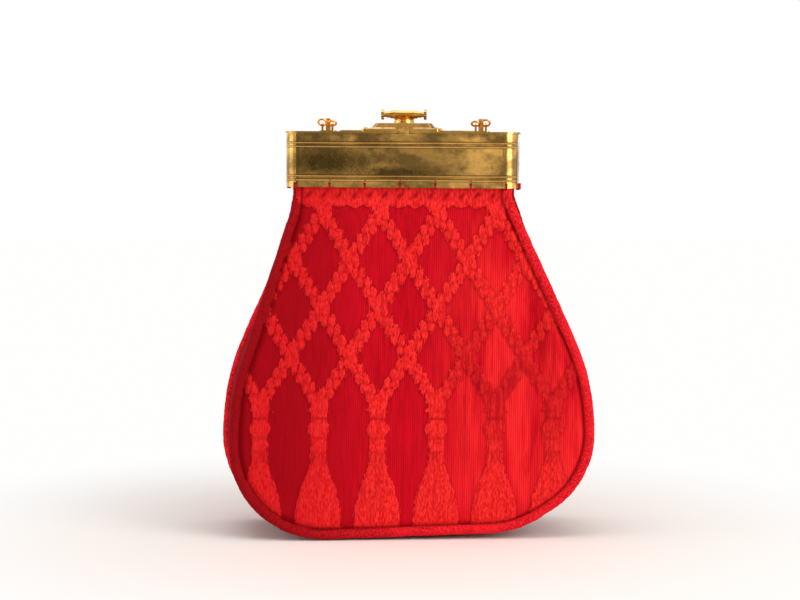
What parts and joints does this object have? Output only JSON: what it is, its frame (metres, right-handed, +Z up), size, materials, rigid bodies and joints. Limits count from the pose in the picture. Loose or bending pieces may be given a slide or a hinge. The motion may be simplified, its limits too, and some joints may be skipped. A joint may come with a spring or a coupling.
{
  "type": "box-frame handbag",
  "caption": "Bell-shaped handbag of cut velvet with piped seams, sewn into a brass box frame with a hinged lid and a turn-lock clasp.",
  "frame": {"origin": "on the floor, under the middle of the brass frame", "axes": "+Z up, -Y towards the front with the clasp's tongue, +X to the viewer's right when facing the front"},
  "size_m": [0.2556, 0.085, 0.2771],
  "materials": {
    "aged_brass": "polished, tarnished in patches",
    "clasp_brass": "polished, slightly worn",
    "red_velvet": "cut pile over a ribbed ground",
    "red_piping": "velvet-covered cord",
    "gusset_velvet": "plain short pile",
    "lining_cloth": "matt satin",
    "sewing_thread": "twisted thread",
    "base_card": "raw stiff card"
  },
  "bodies": {
    "bag": {"frame_band": "aged_brass", "front_panel": "red_velvet", "back_panel": "red_velvet", "gusset": "gusset_velvet", "front_piping": "red_piping", "back_piping": "red_piping", "lining": "lining_cloth", "base_board": "base_card", "sewing_thread": "sewing_thread", "catch": "aged_brass", "hinge_frame_leaf": "aged_brass", "hinge_pin": "aged_brass"},
    "lid": {"lid_plate": "aged_brass", "hinge_lid_leaf": "aged_brass", "clasp_base": "clasp_brass", "clasp_rivets": "clasp_brass", "clasp_housing": "clasp_brass", "ring_bracket_left": "clasp_brass", "ring_bracket_right": "clasp_brass"},
    "turn_lock": {"turn_saddle": "clasp_brass", "turn_bar": "clasp_brass", "lock_spindle": "clasp_brass", "latch_finger": "aged_brass", "spindle_nut": "aged_brass"},
    "ring_left_inner": {"handle_ring_left_inner": "clasp_brass"},
    "ring_left_outer": {"handle_ring_left_outer": "clasp_brass"},
    "ring_right_inner": {"handle_ring_right_inner": "clasp_brass"},
    "ring_right_outer": {"handle_ring_right_outer": "clasp_brass"}
  },
  "joints": [
    {"name": "lid_hinge", "type": "hinge", "parent": "bag", "child": "lid", "pos_m": [0, 0.0289, 0.2619], "axis": [-1, 0, 0], "range_deg": [0, 105]},
    {"name": "turn_lock_turn", "type": "hinge", "parent": "lid", "child": "turn_lock", "pos_m": [0, 0, 0.268], "axis": [0, 0, 1], "range_deg": [0, 90]},
    {"name": "ring_swing_left_inner", "type": "hinge", "parent": "lid", "child": "ring_left_inner", "pos_m": [-0.047, 0, 0.2665], "axis": [-1, 0, 0], "range_deg": [-54, 58]},
    {"name": "ring_swing_left_outer", "type": "hinge", "parent": "lid", "child": "ring_left_outer", "pos_m": [-0.0536, 0, 0.2665], "axis": [-1, 0, 0], "range_deg": [-70, 42]},
    {"name": "ring_swing_right_inner", "type": "hinge", "parent": "lid", "child": "ring_right_inner", "pos_m": [0.047, 0, 0.2665], "axis": [-1, 0, 0], "range_deg": [-54, 58]},
    {"name": "ring_swing_right_outer", "type": "hinge", "parent": "lid", "child": "ring_right_outer", "pos_m": [0.0536, 0, 0.2665], "axis": [-1, 0, 0], "range_deg": [-70, 42]}
  ]
}
